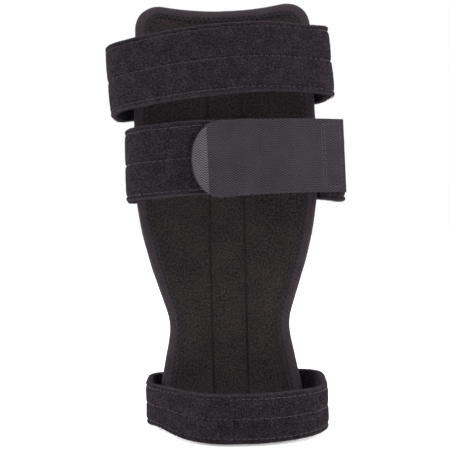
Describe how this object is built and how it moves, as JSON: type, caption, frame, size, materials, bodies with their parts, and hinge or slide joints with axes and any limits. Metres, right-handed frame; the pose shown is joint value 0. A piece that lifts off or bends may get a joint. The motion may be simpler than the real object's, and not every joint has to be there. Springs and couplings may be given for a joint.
{
  "type": "wrist support brace",
  "caption": "Padded hourglass wrist brace panel with a stayed back, a closed palm loop, and wrist and forearm bands closed by peel-off hook tabs.",
  "frame": {"origin": "centre of the bounding box in X and Y, at the height of the palm loop's lower edge and the panel's palm end, which the brace stands on", "axes": "+Z from the palm end up to the elbow end, +Y towards the back of the panel, +X to the viewer's right when looking at the closed straps"},
  "size_m": [0.1266, 0.0698, 0.2395],
  "materials": {
    "shell_loop": "brushed unbroken-loop knit, matt",
    "lining_plush": "short brushed plush, warm black",
    "foam": "closed-cell foam sheet, laminated",
    "binding_tape": "stretch binding tape, soft matt",
    "pocket_cloth": "plain woven lining cloth",
    "stay_metal": "rolled flat bar",
    "cap_dip": "dipped vinyl, smooth",
    "band_pile": "brushed loop pile, ribbed, purple-black",
    "band_elastic": "woven elastic",
    "thread": "spun polyester thread",
    "hook_tape": "woven nylon hook tape back, herringbone",
    "hooks": "dense nylon hooks",
    "grip_film": "welded smooth tip, satin"
  },
  "bodies": {
    "root": {"outer_shell": "shell_loop", "foam_core": "foam", "plush_lining": "lining_plush", "edge_binding": "binding_tape", "stay_pocket": "pocket_cloth", "aluminium_stay": "stay_metal", "stay_cap_upper": "cap_dip", "stay_cap_lower": "cap_dip", "channel_seam_left": "thread", "channel_seam_right": "thread", "binding_seam": "thread", "wrist_anchor_cover": "band_pile", "wrist_anchor_core": "band_elastic", "wrist_anchor_seams": "thread", "wrist_anchor_tacks": "thread", "forearm_anchor_cover": "band_pile", "forearm_anchor_core": "band_elastic", "forearm_anchor_seams": "thread", "forearm_anchor_tacks": "thread", "palm_loop_cover": "band_pile", "palm_loop_core": "band_elastic", "palm_loop_seams": "thread", "palm_loop_tacks": "thread"},
    "wrist_band": {"wrist_swing_cover": "band_pile", "wrist_swing_core": "band_elastic", "wrist_swing_seams": "thread"},
    "wrist_tab": {"wrist_tab_hook_tape": "hook_tape", "wrist_tab_hook_field": "hooks", "wrist_tab_grip_tip": "grip_film", "wrist_tab_root_cover": "band_pile", "wrist_tab_root_core": "band_elastic", "wrist_tab_root_seams": "thread", "wrist_tab_tacks": "thread"},
    "forearm_band": {"forearm_swing_cover": "band_pile", "forearm_swing_core": "band_elastic", "forearm_swing_seams": "thread"},
    "forearm_tab": {"forearm_wrap_cover": "band_pile", "forearm_wrap_core": "band_elastic", "forearm_wrap_seams": "thread", "forearm_tab_hook_tape": "hook_tape", "forearm_tab_hook_field": "hooks", "forearm_tab_grip_tip": "grip_film", "forearm_tab_tacks": "thread"}
  },
  "joints": [
    {"name": "wrist_tab_peel", "type": "hinge", "parent": "root", "child": "wrist_tab", "pos_m": [0.06297, -0.0252, 0.1448], "axis": [0, 0, 1], "range_deg": [0, 150]},
    {"name": "wrist_band_swing", "type": "hinge", "parent": "root", "child": "wrist_band", "pos_m": [-0.05371, -0.0035, 0.1448], "axis": [0, 0, 1], "range_deg": [-67.5, 0]},
    {"name": "forearm_band_swing", "type": "hinge", "parent": "root", "child": "forearm_band", "pos_m": [0.05937, 0.00351, 0.20076], "axis": [-0.0698, 0, 0.9976], "range_deg": [0, 40]},
    {"name": "forearm_tab_peel", "type": "hinge", "parent": "forearm_band", "child": "forearm_tab", "pos_m": [-0.06232, 0.00063, 0.19229], "axis": [-0.0698, 0, 0.9976], "range_deg": [0, 160]}
  ],
  "couplings": [
    {"joint": "wrist_band_swing", "follows": "wrist_tab_peel", "ratio": -0.45},
    {"joint": "forearm_band_swing", "follows": "forearm_tab_peel", "ratio": 0.25}
  ]
}
